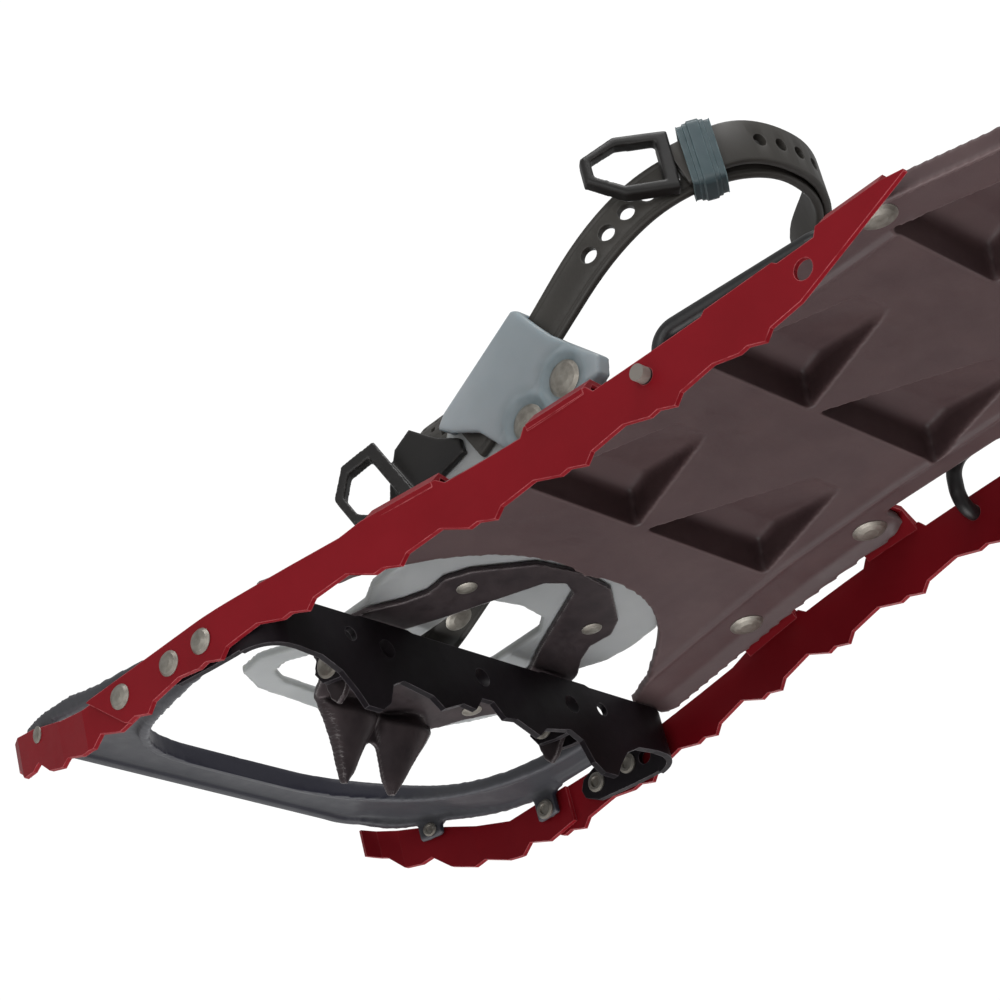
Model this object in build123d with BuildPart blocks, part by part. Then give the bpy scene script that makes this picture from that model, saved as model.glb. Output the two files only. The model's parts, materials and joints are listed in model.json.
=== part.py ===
"""Moulded-deck snowshoe with serrated side rails, a pivoting binding and a wire heel lift.

Frame: +Z up, the nose points to -Y, +X is the wearer's left. The origin is under the middle of
the shoe, on the ground that the lowest claws touch. Stations run backwards (+Y) from the front
rivet of the crossbar's ears, and heights are measured from the deck's underside.
"""

import os
from build123d import *
from math import hypot

# ---------------------------------------------------------------- driving dimensions (mm)
STATION = -190.0          # y of the crossbar's front ear rivet, where stations start
GROUND = 32.0             # height of the deck's underside above the ground
DECK_T = 3.0              # deck wall
RAIL_T = 1.6              # rail sheet
NOSE_END = -90.0          # station of the nose tip
TAIL_END = 470.0          # station of the tail tip
TOOTH_PITCH = 31.5        # side rail teeth
WEB_FRONT = 33.0          # station of the crossbar web's front face
WEB_T = 2.0
HINGE_STATION = 21.0      # the binding's pivot
HINGE_HEIGHT = -10.0
HINGE_X = 47.0            # where the crampon's flanges hang
PIN_R = 2.5
BAIL_STATION = 171.0      # the heel lift's pivot
BAIL_HEIGHT = -9.0
BAIL_R = 2.4
STRAP_T = 2.6
STRAP_X = 46.0            # half distance between the straps beside the boot
RUN_FIT = 0.06            # radial clearance of running fits
POCKET_ROWS = (108.0, 175.0, 242.0)      # stations of the pockets' nose walls
POCKET_LEN = 44.0
POCKET_DEPTH = 10.5
POCKET_WALL = 2.2
SIDES = (1, -1)
SIDE_NAME = {1: "left", -1: "right"}


def side_plane(x):
    """Plane square to X: its local x is the station, its local y the height."""
    return Plane((x, STATION, GROUND), x_dir=(0, 1, 0), z_dir=(1, 0, 0))


def cross_plane(station):
    """Plane square to Y, facing the nose: its local x is X, its local y the height."""
    return Plane((0, STATION + station, GROUND), x_dir=(1, 0, 0), z_dir=(0, -1, 0))


def level_plane(height):
    """Plane parallel to the deck, facing up: its local y is the station."""
    return Plane((0, STATION, GROUND + height))


def outline(points, mode=Mode.ADD):
    """Closed polygon, inside a sketch, added or cut."""
    Polygon(*points, align=None, mode=mode)


def both_sides(points):
    """Closed outline given for x >= 0, from middle line to middle line, with its mirror image."""
    outline(points)
    mirror(about=Plane.YZ)


def prism(points, plane, depth):
    """A polygon extruded from a plane, as a separate solid."""
    with BuildPart(mode=Mode.PRIVATE) as solid:
        with BuildSketch(plane):
            outline(points)
        extrude(amount=depth)
    return solid.part


def shifted(line, distance):
    """The points of a line moved sideways, to the left of its direction."""
    moved = []
    for i, (x, y) in enumerate(line):
        before = line[max(i - 1, 0)]
        after = line[min(i + 1, len(line) - 1)]
        run = hypot(after[0] - before[0], after[1] - before[1])
        across = (-(after[1] - before[1]) / run, (after[0] - before[0]) / run)
        moved.append((x + across[0] * distance, y + across[1] * distance))
    return moved


def band(line, width):
    """Outline of a strip of constant width along a line of points."""
    return shifted(line, width / 2) + shifted(line, -width / 2)[::-1]


def facing_in(side, x, station, height, lean=0.0):
    """Plane on a side face, pointing to the middle of the shoe, local y up; lean turns it to the tail."""
    inward = Vector(-side, lean, 0).normalized()
    return Plane((side * x, STATION + station, GROUND + height), x_dir=(-inward.Y, inward.X, 0), z_dir=inward)


os.makedirs("parts", exist_ok=True)


def save(part, name):
    part.label = name
    export_step(part, f"parts/{name}.step")


# ---------------------------------------------------------------- deck
WINDOW_EDGE = [(76, 33), (70, 44), (60, 57), (48, 69), (34, 77.5), (0, 81)]
DECK_SIDE = [(90.6, 33), (83.0, 72), (75.6, 114), (72.0, 160), (71.0, 205), (70.7, 250)]
TAIL_EDGE = [(70.7, 250), (65.2, 267), (59.5, 285), (56.6, 320), (55.6, 370), (53.5, 425), (42, 458),
             (20, 469),
             (0, TAIL_END)]
RAISED_HALF = [(0, 101), (50, 101), (52, 130), (49.5, 180), (48.5, 254), (46, 290), (44, 330), (43, 410),
               (37, 440),
               (20, 453), (0, 454)]
EDGE_BEVEL = 2.4
RIM_DROP = 3.0            # the rim turned down round the tail
RIM_WALL = 2.4
TAIL_HOLES = ((24, 408), (-24, 408))
DECK_RIVETS = ((73.4, 84.6), (66.0, 140.7), (62.2, 244))


def pocket(row, side, rise, grow):
    """A brake pocket: a steep wall at its nose end and a ramp that runs out towards the tail."""
    tail = row + POCKET_LEN
    inboard = 6 if side > 0 else -2
    plan = [
        (side * (inboard - grow), row - grow), (side * (54 + grow), row - grow),
        (side * (37 + grow), tail + grow), (side * (25 - grow), tail + grow),
    ]
    profile = [
        (row - grow - 0.5, rise - 1), (row + 2 - grow, POCKET_DEPTH + rise), (row + 12, POCKET_DEPTH + rise),
        (tail + grow, rise + 0.3), (tail + grow, rise - 1),
    ]
    with BuildPart(mode=Mode.PRIVATE) as solid:
        with BuildSketch(level_plane(rise - 1)):
            outline(plan)
        extrude(amount=POCKET_DEPTH + 3)
        add(prism(profile, side_plane(-90), 180), mode=Mode.INTERSECT)
    return solid.part


with BuildPart() as deck:
    with BuildSketch(level_plane(0)) as deck_plan:
        with BuildLine():
            Spline(*WINDOW_EDGE)
            Line(WINDOW_EDGE[0], DECK_SIDE[0])
            Spline(*DECK_SIDE)
            Spline(*TAIL_EDGE, tangents=((-0.3, 1), (-1, 0)))
            Line((0, 81), (0, TAIL_END))
        make_face()
        mirror(about=Plane.YZ)
    extrude(amount=DECK_T)
    # the edges beside the rails are bevelled, to clear the rails' sloping tabs
    rail_side_edges = [
        edge for edge in deck.edges().filter_by_position(Axis.Z, GROUND + DECK_T, GROUND + DECK_T)
        if abs(edge.center().X) > 60 and STATION + 40 < edge.center().Y < STATION + 245
    ]
    chamfer(rail_side_edges, EDGE_BEVEL)
    # the middle of the deck stands a little above the flange that lies along the rails
    with BuildSketch(level_plane(DECK_T)):
        both_sides(RAISED_HALF)
    extrude(amount=1.5, taper=40)
    for row in POCKET_ROWS:
        for side in SIDES:
            add(pocket(row, side, POCKET_WALL, 2.6))
    for row in POCKET_ROWS:
        for side in SIDES:
            add(pocket(row, side, 0, 0), mode=Mode.SUBTRACT)
    # downturned rim round the tail
    rim_inside = shifted(TAIL_EDGE, RIM_WALL)
    with BuildSketch(level_plane(-RIM_DROP)):
        with BuildLine():
            Spline(*TAIL_EDGE, tangents=((-0.3, 1), (-1, 0)))
            Line(TAIL_EDGE[-1], rim_inside[-1])
            Spline(*rim_inside, tangents=((-0.3, 1), (-1, 0)))
            Line(rim_inside[0], TAIL_EDGE[0])
        make_face()
        mirror(about=Plane.YZ)
    extrude(amount=RIM_DROP + 0.5)
    # notches for the heel lift's legs, rivet holes, and two holes for a flotation tail
    with BuildSketch(level_plane(-1)):
        with Locations((72.5, 172), (-72.5, 172)):
            RectangleRounded(20, 46, 3)
        with Locations(*TAIL_HOLES):
            Circle(3.25)
        for x, y in DECK_RIVETS:
            with Locations((x, y), (-x, y)):
                Circle(2.5)
    extrude(amount=DECK_T + 4, mode=Mode.SUBTRACT)
save(deck.part, "deck")

# ---------------------------------------------------------------- nose bow
BOW_OUTER = [(58, NOSE_END), (70.5, NOSE_END + 2.0), (80.4, NOSE_END + 11.5), (88.2, -57), (92.1, -38),
             (92.5, -14)]
BOW_INNER = [(76, 22), (74.5, -6), (67, -33), (54, -54), (36, -65.5), (18, -68), (0, -68.3)]
BOW_ARM_X = 90.0          # the arms step in here to pass inside the crossbar's ears
BOW_UNDER = [(24, -3.0), (-22, -2.4), (-46, 1.9), (-70, 10.0), (-92, 16.4)]
BOW_TOP = [(-92, 20.6), (-78, 19.4), (-60, 13.4), (-38, 5.0), (-14, 1.6), (24, 1.5)]
BOW_WALL = 3.4
LUG_T = 2.6
CORNER_RIVET = (96.2, -21.7, -8.1)       # outer face of the rail: x, station, height
NOSE_RIVET = (87.42, -67.4, 5.3)         # outer face of the corner plate
NOSE_LEAN = 0.29
PLATE_SHEET = 1.6
CORNER_SKIN = RAIL_T + PLATE_SHEET + 0.9         # rail and corner plate outside the bow's lug
NOSE_SKIN = PLATE_SHEET + 0.7

# two shapes, the second drawn in by the wall and lowered, whose difference is a channel open below
bow_shapes = []
for wall in (0, BOW_WALL):
    outer = shifted(BOW_OUTER, wall)
    inner = shifted(BOW_INNER, wall)
    inner_half = inner[1:-1]
    inner_whole = inner_half + [(0, inner[-1][1])] + [(-x, y) for x, y in inner_half[::-1]]
    with BuildPart() as bow_shape:
        with BuildSketch(level_plane(-10)):
            with BuildLine():
                Line((-outer[0][0], outer[0][1]), outer[0])
                for side in SIDES:
                    Spline(*[(side * x, y) for x, y in outer])
                    arm_line = [outer[-1], (BOW_ARM_X - wall, -12), (BOW_ARM_X - wall, 22 - wall),
                                (inner[0][0], 22 - wall), inner[1]]
                    Polyline(*[(side * x, y) for x, y in arm_line])
                Spline(*inner_whole)
            make_face()
        extrude(amount=46)
        with BuildSketch(side_plane(-110)):
            with BuildLine():
                Spline(*[(y, z - wall) for y, z in BOW_UNDER])
                Line((BOW_UNDER[-1][0], BOW_UNDER[-1][1] - wall), (BOW_TOP[0][0], BOW_TOP[0][1] - wall))
                Spline(*[(y, z - wall) for y, z in BOW_TOP])
                Line((BOW_TOP[-1][0], BOW_TOP[-1][1] - wall), (BOW_UNDER[0][0], BOW_UNDER[0][1] - wall))
            make_face()
        extrude(amount=220, mode=Mode.INTERSECT)
    bow_shapes.append(bow_shape.part)

with BuildPart() as nose_bow:
    add(bow_shapes[0])
    add(bow_shapes[1], mode=Mode.SUBTRACT)
    # lugs that hang behind the rails and the corner plates, for the rivets
    for side in SIDES:
        for place, lean, skin, rise, radius in (
            (CORNER_RIVET, 0, CORNER_SKIN, 3.2, 2.0), (NOSE_RIVET, NOSE_LEAN, NOSE_SKIN, 3.0, 1.5),
        ):
            with BuildSketch(facing_in(side, *place, lean).offset(skin)):
                with Locations((0, rise)):
                    Rectangle(9, 12)
                Circle(radius, mode=Mode.SUBTRACT)
            extrude(amount=LUG_T)
save(nose_bow.part, "nose_bow")

# ---------------------------------------------------------------- side rails
RAIL_X = 96.2             # outer face along the straight front
RAIL_CURVE = [(12, RAIL_X), (30, 94.6), (72, 87.6), (114, 80.4), (160, 76.8), (205, 75.8), (262, 75.6)]
TEETH_START = -12.0       # station of the first tooth's tip
TOOTH_COUNT = 8
TAB_T = 1.5
TAB_LOW = DECK_T + 0.02   # the tabs lie on the deck
TAB_SLOPE_IN = 6.0         # how far in from the rail's outer face a tab reaches the deck's top
TAB_FOOT = -0.8           # height at which a tab leaves the rail
TABS = ((73.7, 99.1, 19.0), (129.9, 152.0, 20.0), (233.0, 254.0, 16.5))
TOOTH_DROP = (0.0, -1.0, -0.8, 1.0, 2.8, 3.3, 3.3, 2.7)


def rail_x(station):
    """Outer face of the rail, read off its plan stations."""
    for (y0, x0), (y1, x1) in zip(RAIL_CURVE, RAIL_CURVE[1:]):
        if station <= y1:
            return x0 + (x1 - x0) * (station - y0) / (y1 - y0)
    return RAIL_CURVE[-1][1]


def rail_profile():
    """Side outline of a rail: double teeth below, a stepped top, a point at the tail."""
    points = [(-36, -2.5), (-22, -16.6)]
    for tooth, drop in enumerate(TOOTH_DROP):
        tip = TEETH_START + TOOTH_PITCH * tooth
        points += [
            (tip - 8.5, -17.3 - drop), (tip - 5.5, -16.8 - drop), (tip, -18.9 - drop),
            (tip + 2.8, -16.2 - drop), (tip + 14.5, -14.6 - drop),
        ]
    return points[:-1] + [
        (222, -17.6), (262, -2.8), (262, -2.2), (254, TAB_FOOT), (233, TAB_FOOT), (231.5, -3.4), (219, -3.4),
        (217.5, -2.2), (194, -2.2), (192.5, -3.4), (154, -3.4), (152, TAB_FOOT), (129.9, TAB_FOOT),
        (128, -3.4),
        (102, -3.2), (99.1, TAB_FOOT), (73.7, TAB_FOOT), (66, -2.2), (-34, -2.3),
    ]


with BuildPart() as rail_side:
    with BuildSketch(side_plane(-110)):
        outline(rail_profile())
    extrude(amount=220)

for side in SIDES:
    with BuildPart() as rail:
        with BuildSketch(level_plane(-30)):
            with BuildLine():
                for face in (0, RAIL_T):
                    Line((side * (RAIL_X - face), -38), (side * (RAIL_X - face), RAIL_CURVE[0][0]))
                    Spline(*[(side * (x - face), y) for y, x in RAIL_CURVE], tangents=((0, 1), (0, 1)))
                Line((side * RAIL_X, -38), (side * (RAIL_X - RAIL_T), -38))
                Line((side * RAIL_CURVE[-1][1], 262), (side * (RAIL_CURVE[-1][1] - RAIL_T), 262))
            make_face()
        extrude(amount=32)
        add(rail_side.part, mode=Mode.INTERSECT)
        # tabs that slope up from the rail's edge and lie on the deck
        for start, end, reach in TABS:
            middle = (start + end) / 2
            outer = rail_x(middle)
            turn = (rail_x(end) - rail_x(start)) / (end - start)
            tab_plane = Plane((side * outer, STATION + middle, GROUND), x_dir=(side, 0, 0),
                              z_dir=(-turn, -side, 0))
            tab_section = [
                (-0.1, TAB_FOOT - 1.6), (-0.1, TAB_FOOT), (-TAB_SLOPE_IN, TAB_LOW + TAB_T),
                (-reach, TAB_LOW + TAB_T),
                (-reach, TAB_LOW), (-TAB_SLOPE_IN - 0.5, TAB_LOW), (-1.5, TAB_FOOT - 2.6),
            ]
            add(prism(tab_section, tab_plane.offset(-(end - start) / 2 + 1.0), end - start - 2.0))
        # rivet holes, the heel lift's bearing hole and a spare hole near the tail
        with BuildSketch(side_plane(side * 60)):
            for station, height, radius in ((-21.7, -8.1, 2.0), (0, -8.7, 2.0), (13.8, -8.9, 2.0),
                                            (BAIL_STATION, BAIL_HEIGHT, BAIL_R + RUN_FIT), (225.8, -9.8, 3.1)):
                with Locations((station, height)):
                    Circle(radius)
        extrude(amount=side * 50, mode=Mode.SUBTRACT)
        with BuildSketch(level_plane(0)):
            with Locations(*[(side * x, y) for x, y in DECK_RIVETS]):
                Circle(2.5)
        extrude(amount=10, mode=Mode.SUBTRACT)
    save(rail.part, f"rail_{SIDE_NAME[side]}")

# ---------------------------------------------------------------- corner plates
PLATE_LINE = [(93.7, -14), (93.7, -40), (90.4, -54), (82.9, -80), (78.6, -86.0), (73.5, -88.6)]
PLATE_SIDE = [
    (-12, -2.6), (-40, -2.6), (-52, 1.0), (-70, 8.6), (-92, 15.5), (-92, 6), (-88, 4.2), (-84, 2.8),
    (-80, -2.4),
    (-74, -3.6), (-70, -2.8), (-64, -9.0), (-56, -12.6), (-52, -11.6), (-44, -15.4), (-38, -16.4),
    (-34, -13.6), (-26, -17),
    (-12, -15),
]
for side in SIDES:
    with BuildPart() as corner_plate:
        with BuildSketch(level_plane(-30)):
            outline([(side * x, y) for x, y in band(PLATE_LINE, PLATE_SHEET)])
        extrude(amount=60)
        with BuildSketch(side_plane(-110)):
            outline(PLATE_SIDE)
        extrude(amount=220, mode=Mode.INTERSECT)
        for place, lean, radius in ((CORNER_RIVET, 0, 2.0), (NOSE_RIVET, NOSE_LEAN, 1.5)):
            with BuildSketch(facing_in(side, *place, lean)):
                Circle(radius)
            extrude(amount=8, both=True, mode=Mode.SUBTRACT)
    save(corner_plate.part, f"corner_plate_{SIDE_NAME[side]}")

# ---------------------------------------------------------------- crossbar
WEB_HALF = [
    (0, -17.5), (2.5, -17.5), (6.5, -22.2), (12, -21.5), (21, -25.2), (25, -21.8), (37, -19.5), (42, -22),
    (45, -29), (49, -GROUND), (55, -GROUND), (58, -27.5), (63, -22), (70, -18.6), (79, -17.8), (86, -18),
    (86, -1), (52, -1), (50, -0.4), (30, -0.4), (28, -1), (0, -1),
]
EAR_X = 91.4              # inner face of the ears
BEND_R = 10.0
LUG_SIDE = [(34, -2.5), (34, -17), (24, -16), (17.5, -14.5), (15, -10), (17.5, -5.5), (24, -2.5)]

EAR_SIDE = [(60, 2), (60, -19), (36, -18), (22, -17.2), (12, -16.2), (-1, -14.6), (-6, -11.5), (-6.8, -8.5),
            (-5, -5.2), (0, -3.4), (14, -3.2), (24, -1.6), (30, 2)]

with BuildPart() as crossbar:
    with BuildSketch(level_plane(-GROUND)):
        for side in SIDES:
            with BuildLine():
                FilletPolyline((0, WEB_FRONT + 1), (side * (EAR_X + 1), WEB_FRONT + 1),
                               (side * (EAR_X + 1), -7),
                               radius=BEND_R)
            trace(line_width=WEB_T)
    extrude(amount=GROUND)
    # the web's toothed outline, carried forward over the ears
    with BuildSketch(cross_plane(60)):
        both_sides(WEB_HALF)
        for side in SIDES:
            with Locations((side * 91, -9.5)):
                Rectangle(12, 17)
    extrude(amount=90, mode=Mode.INTERSECT)
    with BuildSketch(side_plane(-120)):
        outline(EAR_SIDE)
        with Locations((60, -20)):
            Rectangle(70, 60)
    extrude(amount=240, mode=Mode.INTERSECT)
    # lugs that carry the hinge pins
    for side in SIDES:
        for lug_x in (42.0, 50.4):
            add(prism(LUG_SIDE, side_plane(side * lug_x), side * WEB_T))
    # pin holes, ear rivet holes, two open holes and three pressed dimples in the web
    with BuildSketch(side_plane(-100)):
        with Locations((HINGE_STATION, HINGE_HEIGHT)):
            Circle(PIN_R)
        with Locations((0, -8.7), (13.8, -8.9)):
            Circle(2.0)
    extrude(amount=200, mode=Mode.SUBTRACT)
    with BuildSketch(cross_plane(50)):
        with Locations((55.8, -8), (-55.8, -8)):
            Circle(2.3)
    extrude(amount=30, mode=Mode.SUBTRACT)
    for dimple_x in (41, 0, -41):
        with Locations((dimple_x, STATION + WEB_FRONT + WEB_T + 3.4, GROUND - 9.5)):
            Sphere(4.6, mode=Mode.SUBTRACT)
save(crossbar.part, "crossbar")

# ---------------------------------------------------------------- rivets and pins
def rivet(shank_r, head_r, head_h, grip, tail_r, tail_h):
    """A rivet along +Z: domed head below zero, shank through the grip, a rolled hollow tail above it."""
    with BuildPart(mode=Mode.PRIVATE) as solid:
        with BuildSketch(Plane.XZ):
            with BuildLine():
                Polyline((0, -head_h), (head_r * 0.45, -head_h * 0.9), (head_r * 0.8, -head_h * 0.6),
                         (head_r, -0.25),
                         (head_r, 0), (shank_r, 0), (shank_r, grip), (tail_r, grip),
                         (tail_r, grip + tail_h * 0.6),
                         (tail_r * 0.8, grip + tail_h), (tail_r * 0.55, grip + tail_h),
                         (tail_r * 0.45, grip + tail_h * 0.3), (0, grip + tail_h * 0.3), (0, -head_h))
            make_face()
        revolve(axis=Axis.Z)
    return solid.part


with BuildPart() as ear_rivets:
    for side in SIDES:
        with Locations(facing_in(side, RAIL_X, 0, -8.7)):
            add(rivet(1.95, 3.9, 1.8, RAIL_X - EAR_X, 3.3, 1.0))
        with Locations(facing_in(side, RAIL_X, 13.8, -8.9)):
            add(rivet(1.95, 3.9, 1.8, RAIL_X - EAR_X, 3.3, 1.0))
save(ear_rivets.part, "ear_rivets")

with BuildPart() as corner_rivets:
    for side in SIDES:
        with Locations(facing_in(side, *CORNER_RIVET)):
            add(rivet(1.95, 3.9, 1.8, CORNER_SKIN + LUG_T, 3.3, 1.0))
save(corner_rivets.part, "corner_rivets")

with BuildPart() as nose_rivets:
    for side in SIDES:
        with Locations(facing_in(side, *NOSE_RIVET, NOSE_LEAN)):
            add(rivet(1.45, 2.6, 1.0, NOSE_SKIN + LUG_T, 2.4, 0.7))
save(nose_rivets.part, "nose_rivets")

with BuildPart() as deck_rivets:
    for x, station in DECK_RIVETS:
        with Locations((x, STATION + station, GROUND), (-x, STATION + station, GROUND)):
            add(rivet(2.45, 5.5, 1.5, TAB_LOW + TAB_T + 0.03, 4.8, 1.2))
save(deck_rivets.part, "deck_rivets")

with BuildPart() as hinge_pins:
    for side in SIDES:
        with Locations(facing_in(side, 52.4, HINGE_STATION, HINGE_HEIGHT)):
            add(rivet(PIN_R, 4.3, 1.3, 10.4, 4.0, 1.1))
save(hinge_pins.part, "hinge_pins")

# ---------------------------------------------------------------- crampon
PLATE_LOW = 1.4           # underside of the crampon plate
PLATE_T = 2.0
FLANGE_T = 2.0
EYELETS = ((28, 59), (-28, 59), (29, 5.4), (-29, 5.4))
PLATE_HALF = [
    (0, -11), (23.5, -11), (27.2, -8), (31, -1.6), (36, 4), (42, 9), (48, 13), (48, 31), (46.5, 36), (40, 44),
    (36.5, 51), (37.5, 59), (33, 66), (16.5, 78), (0, 80.5),
]
PLATE_WINDOW_HALF = [(0, 74), (6.5, 71), (14, 57), (21.5, 43), (29, 31), (29, 24), (20, 17), (0, 17)]
FLANGE_SIDE = [
    (12, 3), (31, 3), (31, 0.5), (28.4, -7), (25, -13.5), (20.6, -18.8), (17.5, -20.4), (15.4, -18),
    (14.2, -12),
    (12, 0),
]
CLAW_HALF = [
    (0, -9.5), (2.4, -10.4), (3.8, -13.5), (6.2, -20), (9.7, -24.4), (11.2, -24.4), (13.4, -20), (16.6, -13),
    (20.6, -6.5), (25.5, 0), (25.5, 2), (0, 2),
]
CLAW_PLANE = Plane((0, STATION - 10.0, GROUND + 2.0), x_dir=(1, 0, 0), z_dir=(0, -0.919, 0.394))

# round flutes that stiffen the two front claws, and the hollows pressed in behind them
flutes = []
hollows = []
for claw_x in (10.5, -10.5):
    flute_top = CLAW_PLANE.from_local_coords((claw_x * 1.15, 0.5, 2.2))
    flute_tip = CLAW_PLANE.from_local_coords((claw_x, -23.5, 0.4))
    flute_plane = Plane(flute_top, z_dir=flute_tip - flute_top)
    flute_length = (flute_tip - flute_top).length
    with BuildPart() as flute:
        with BuildSketch(flute_plane):
            Circle(8.4)
        with BuildSketch(flute_plane.offset(flute_length)):
            Circle(1.3)
        loft()
        with BuildSketch(CLAW_PLANE.offset(1.0)):
            Rectangle(120, 120)
        extrude(amount=30, mode=Mode.SUBTRACT)
    with BuildPart() as hollow:
        with BuildSketch(flute_plane.offset(-3)):
            Circle(7.0)
        with BuildSketch(flute_plane.offset(flute_length - 6)):
            Circle(0.9)
        loft()
        with BuildSketch(level_plane(-0.6)):
            Rectangle(120, 200)
        extrude(amount=30, mode=Mode.SUBTRACT)
    flutes.append(flute.part)
    hollows.append(hollow.part)

with BuildPart() as crampon:
    with BuildSketch(level_plane(PLATE_LOW)):
        both_sides(PLATE_HALF)
        for side in SIDES:
            Polygon(*[(side * x, y) for x, y in PLATE_WINDOW_HALF], align=None, mode=Mode.SUBTRACT)
        with Locations(*EYELETS):
            Circle(2.0, mode=Mode.SUBTRACT)
    extrude(amount=PLATE_T)
    for side in SIDES:
        add(prism(FLANGE_SIDE, side_plane(side * (HINGE_X + 1)), -side * FLANGE_T))
    # two front claws on one slanted blade
    with BuildSketch(CLAW_PLANE):
        both_sides(CLAW_HALF)
    extrude(amount=PLATE_T / 2, both=True)
    add(flutes)
    add(hollows, mode=Mode.SUBTRACT)
    # hinge holes
    with BuildSketch(side_plane(-60)):
        with Locations((HINGE_STATION, HINGE_HEIGHT)):
            Circle(PIN_R + RUN_FIT)
    extrude(amount=120, mode=Mode.SUBTRACT)
save(crampon.part, "crampon")

# ---------------------------------------------------------------- binding base
BASE_T = 3.2
BASE_LOW = PLATE_LOW + PLATE_T
EYELET_SEAT = BASE_LOW + BASE_T - 0.85      # the eyelets' tails are sunk into the base
ARM_IN = 42.2             # inner face of the upstands
ARM_T = 2.4
INSTEP_RIVETS = ((64.5, 19.5), (73.5, 20.5))      # in the right upstand: station, height
BASE_HALF = [
    (0, -31), (30, -28), (43, -21), (48, -9), (48.5, 8), (46.5, 22), (47, 36), (52, 44), (53.5, 54), (52, 66),
    (44, 80), (28, 90), (0, 93),
]
TOE_HOLE_HALF = [(0, -21), (27, -19), (36, -14), (40, -5), (40, 9), (33, 12), (0, 12)]
BASE_WINDOW_HALF = [(0, 26), (17, 26), (17, 48), (12, 54), (0, 56)]
BASE_SIDE = [
    (100, 0), (10, 0), (-8, 5.5), (-34, 11.5), (-34, 11.5 + BASE_T), (-9, 5.5 + BASE_T), (9, BASE_T),
    (100, BASE_T),
]
ARM_SIDE = [
    (30, 2), (44, 6), (60, 19), (72, 28), (80, 38.5), (110, 52.5), (119, 48), (127, 39), (139, 24),
    (136, 17.5),
    (124, 13), (102, 11.8), (99, 4.5), (92, 2),
]

with BuildPart() as binding_base:
    with BuildSketch(level_plane(BASE_LOW - 1)):
        both_sides(BASE_HALF)
        for opening in (TOE_HOLE_HALF, BASE_WINDOW_HALF):
            for side in SIDES:
                Polygon(*[(side * x, y) for x, y in opening], align=None, mode=Mode.SUBTRACT)
    extrude(amount=30)
    base_profile = [(y, z + BASE_LOW) for y, z in BASE_SIDE]
    add(prism(base_profile, side_plane(-80), 160), mode=Mode.INTERSECT)
    # upstands beside the boot
    for side in SIDES:
        arm_profile = [(y, z + BASE_LOW) for y, z in ARM_SIDE]
        add(prism(arm_profile, side_plane(side * ARM_IN), side * ARM_T))
    # holes for the eyelets and for the sleeve rivets
    with BuildSketch(level_plane(0)):
        with Locations(*EYELETS):
            Circle(2.0)
    extrude(amount=25, mode=Mode.SUBTRACT)
    with BuildSketch(level_plane(EYELET_SEAT)):
        with Locations(*EYELETS):
            Circle(3.5)
    extrude(amount=10, mode=Mode.SUBTRACT)
    with BuildSketch(side_plane(-60)):
        with Locations((112, 20.6), (128, 26)):
            Circle(2.4)
    extrude(amount=120, mode=Mode.SUBTRACT)
    with BuildSketch(side_plane(-60)):
        with Locations(*INSTEP_RIVETS):
            Circle(1.8)
    extrude(amount=60, mode=Mode.SUBTRACT)
save(binding_base.part, "binding_base")

with BuildPart() as crampon_eyelets:
    for x, station in EYELETS:
        with Locations((x, STATION + station, GROUND + PLATE_LOW)):
            add(rivet(1.95, 3.2, 0.8, EYELET_SEAT - PLATE_LOW + 0.02, 3.4, 0.8))
save(crampon_eyelets.part, "crampon_eyelets")

# ---------------------------------------------------------------- sleeves and their rivets
SLEEVE_OUT = 50.2
SLEEVE_SIDE = [(83.5, 41.5), (116.5, 57.5), (119, 55.5), (128, 41), (141, 26.5), (139.5, 21), (126, 17.5),
               (108, 14.8),
               (101, 18.5), (95, 27.5), (85.5, 33), (80.5, 37.5)]
STRAP_LINE = [(60, 19.5), (88, 30), (122, 46), (148, 64.5), (171, 76.5), (200, 82.5)]
STRAP_W = 15.0

for side in SIDES:
    with BuildPart() as sleeve:
        add(prism(SLEEVE_SIDE, side_plane(side * (ARM_IN + ARM_T)), side * (SLEEVE_OUT - ARM_IN - ARM_T)))
        outer_edges = sleeve.faces().sort_by(Axis.X)[-1 if side > 0 else 0].edges()
        fillet(outer_edges, 1.4)
        # the strap's channel, open at both ends
        channel_line = [(y, z) for y, z in STRAP_LINE[1:3]]
        (y0, z0), (y1, z1) = channel_line
        slope = (z1 - z0) / (y1 - y0)
        channel_line = [(y0 - 20, z0 - 20 * slope), (y1 + 20, z1 + 20 * slope)]
        channel = band(channel_line, STRAP_W + 1.0)
        add(prism(channel, side_plane(side * (ARM_IN + ARM_T)), side * (STRAP_T + 0.5)), mode=Mode.SUBTRACT)
        with BuildSketch(side_plane(side * 40)):
            with Locations((112, 20.6), (128, 26)):
                Circle(2.4)
        extrude(amount=side * 20, mode=Mode.SUBTRACT)
    save(sleeve.part, f"sleeve_{SIDE_NAME[side]}")

with BuildPart() as sleeve_rivets:
    for side in SIDES:
        for station, height in ((112, 20.6), (128, 26)):
            with Locations(facing_in(side, SLEEVE_OUT, station, height)):
                add(rivet(2.35, 5.6, 1.6, SLEEVE_OUT - ARM_IN, 4.6, 1.2))
save(sleeve_rivets.part, "sleeve_rivets")

# ---------------------------------------------------------------- straps
HOLE_R = 2.7
HOLE_PITCH = 9.0
STRAP_BEND_R = 14.0

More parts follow.
